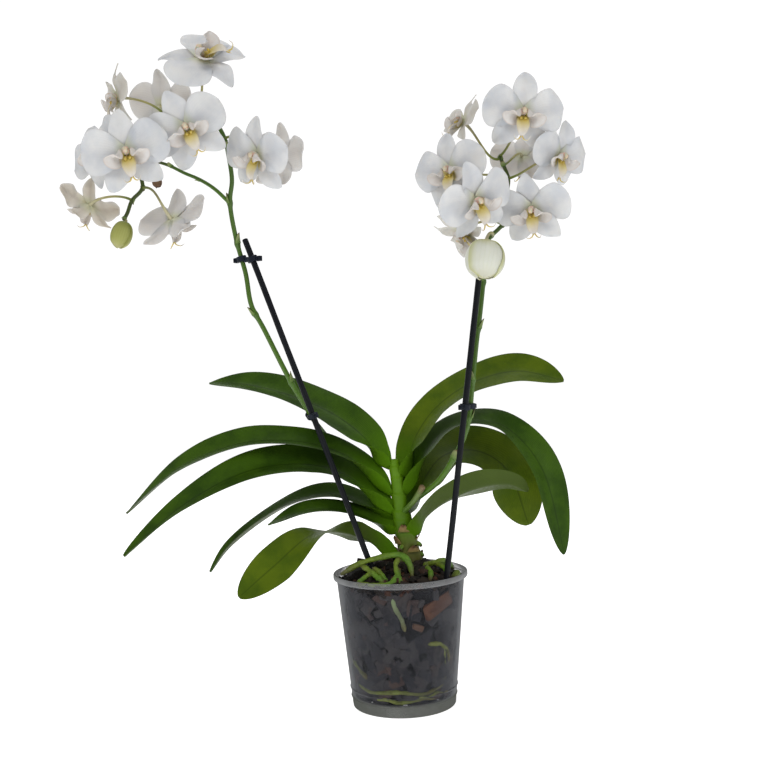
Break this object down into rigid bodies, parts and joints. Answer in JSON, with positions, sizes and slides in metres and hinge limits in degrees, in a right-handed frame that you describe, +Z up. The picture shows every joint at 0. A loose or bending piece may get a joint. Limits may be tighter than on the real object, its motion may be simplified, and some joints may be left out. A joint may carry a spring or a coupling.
{
  "type": "potted orchid",
  "caption": "White moth orchid in a clear nursery pot: arching strap leaves, aerial roots, and flower spikes clipped to black canes.",
  "frame": {"origin": "centre of the pot's underside, on the surface it stands on", "axes": "+Z up the plant; -Y towards the viewer, who has the longer-leaved side on the left; +X to the viewer's right"},
  "size_m": [0.4543, 0.1498, 0.598],
  "materials": {
    "clear_plastic": "milky clear thin plastic, faintly grey, soft sheen",
    "bark": "damp dark bark chips, rough",
    "leaf": "waxy deep green above, paler olive beneath",
    "stem": "fresh yellow-green, smooth",
    "spike": "smooth green stalk with pale bracts",
    "root": "smooth green and silver root skin",
    "cane": "black plastic-coated cane, satin",
    "clip": "black moulded plastic clip",
    "petal": "soft white, yellow at the lip, faint pink veins",
    "bud": "smooth cream flushed with green",
    "dry": "dried brown tissue"
  },
  "bodies": {
    "root": {"bark_chip_1": "bark", "bark_chip_2": "bark", "bark_chip_3": "bark", "bark_chip_4": "bark", "bud_dry": "dry", "bud_left": "bud", "bud_right": "bud", "cane_left": "cane", "cane_right": "cane", "clip_left_lower": "clip", "clip_left_upper": "clip", "clip_right_lower": "clip", "clip_right_upper": "clip", "flower_left_1": "petal", "flower_left_10": "petal", "flower_left_2": "petal", "flower_left_3": "petal", "flower_left_4": "petal", "flower_left_5": "petal", "flower_left_6": "petal", "flower_left_7": "petal", "flower_left_8": "petal", "flower_left_9": "petal", "flower_right_1": "petal", "flower_right_2": "petal", "flower_right_3": "petal", "flower_right_4": "petal", "flower_right_5": "petal", "flower_right_6": "petal", "flower_right_7": "petal", "flower_right_8": "petal", "flower_spike_left": "spike", "flower_spike_right": "spike", "leaf_left_1": "leaf", "leaf_left_2": "leaf", "leaf_left_3": "leaf", "leaf_left_4": "leaf", "leaf_left_5": "leaf", "leaf_left_6": "leaf", "leaf_right_1": "leaf", "leaf_right_2": "leaf", "leaf_right_3": "leaf", "leaf_right_4": "leaf", "nursery_pot": "clear_plastic", "old_spike_stub": "spike", "potting_bark": "bark", "root_arch": "root", "root_front": "root", "root_right": "root", "root_rim": "root", "root_short": "root", "root_wall_1": "root", "root_wall_2": "root", "root_wall_3": "root", "root_wall_4": "root", "root_wall_5": "root", "root_wall_6": "root", "stem": "stem"}
  },
  "joints": []
}
